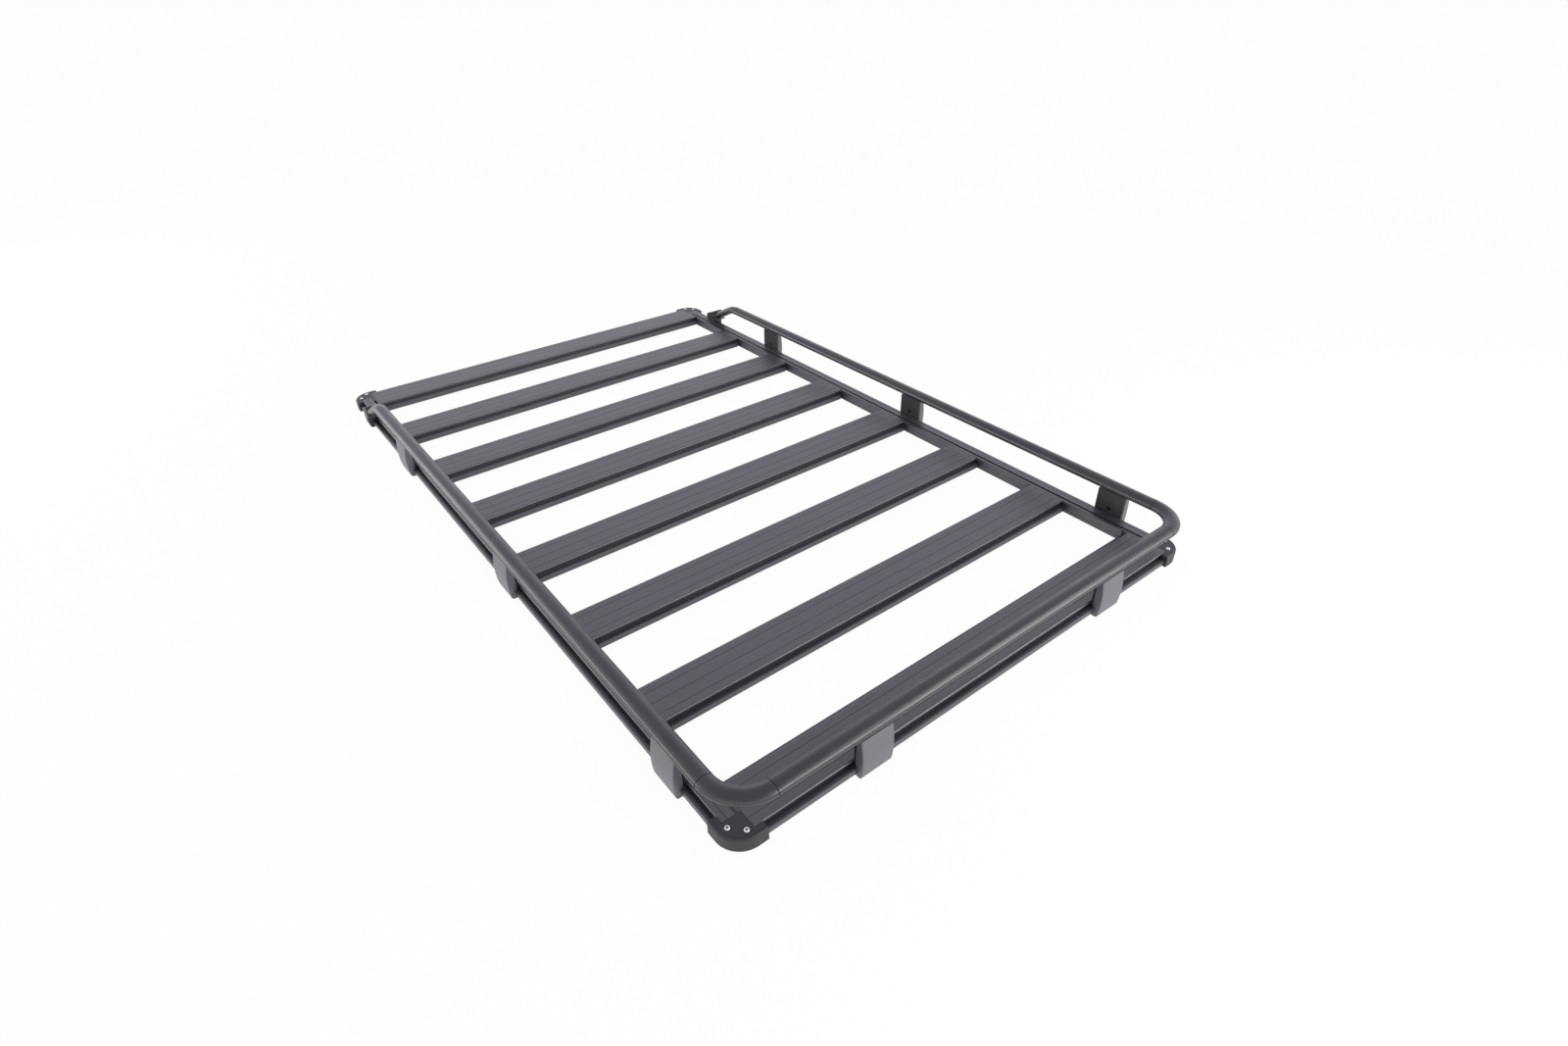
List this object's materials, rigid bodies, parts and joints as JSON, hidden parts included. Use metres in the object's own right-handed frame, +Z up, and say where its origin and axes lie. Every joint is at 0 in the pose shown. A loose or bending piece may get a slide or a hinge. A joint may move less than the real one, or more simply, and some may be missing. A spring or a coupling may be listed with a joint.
{
  "type": "flat platform roof rack",
  "caption": "Low flat roof rack platform of wide cross beams between dovetail side rails, with a low oval guard rail round the front and sides.",
  "frame": {"origin": "centre of the box that holds the rack, at its lowest level", "axes": "+Z up, +Y from the guarded front to the open rear, +X across the platform"},
  "size_m": [1.322, 2.1435, 0.1179],
  "materials": {
    "coated_extrusion": "satin black powder coat",
    "coated_casting": "satin black powder coat",
    "coated_tube": "satin black powder coat",
    "coated_post": "satin black powder coat"
  },
  "bodies": {
    "root": {"corner_casting_front_left": "coated_casting", "corner_casting_front_right": "coated_casting", "corner_casting_rear_left": "coated_casting", "corner_casting_rear_right": "coated_casting", "front_beam": "coated_extrusion", "guard_bend_left": "coated_tube", "guard_bend_right": "coated_tube", "guard_tube_front": "coated_tube", "guard_tube_left": "coated_tube", "guard_tube_right": "coated_tube", "post_clamp_front_1": "coated_post", "post_clamp_front_2": "coated_post", "post_clamp_left_1": "coated_post", "post_clamp_left_2": "coated_post", "post_clamp_left_3": "coated_post", "post_clamp_right_1": "coated_post", "post_clamp_right_2": "coated_post", "post_clamp_right_3": "coated_post", "post_shell_front_1": "coated_post", "post_shell_front_2": "coated_post", "post_shell_left_1": "coated_post", "post_shell_left_2": "coated_post", "post_shell_left_3": "coated_post", "post_shell_right_1": "coated_post", "post_shell_right_2": "coated_post", "post_shell_right_3": "coated_post", "rear_beam": "coated_extrusion", "rear_foot_left": "coated_casting", "rear_foot_right": "coated_casting", "side_rail_left": "coated_extrusion", "side_rail_right": "coated_extrusion", "slat_2": "coated_extrusion", "slat_3": "coated_extrusion", "slat_4": "coated_extrusion", "slat_5": "coated_extrusion", "slat_6": "coated_extrusion", "slat_7": "coated_extrusion"}
  },
  "joints": []
}
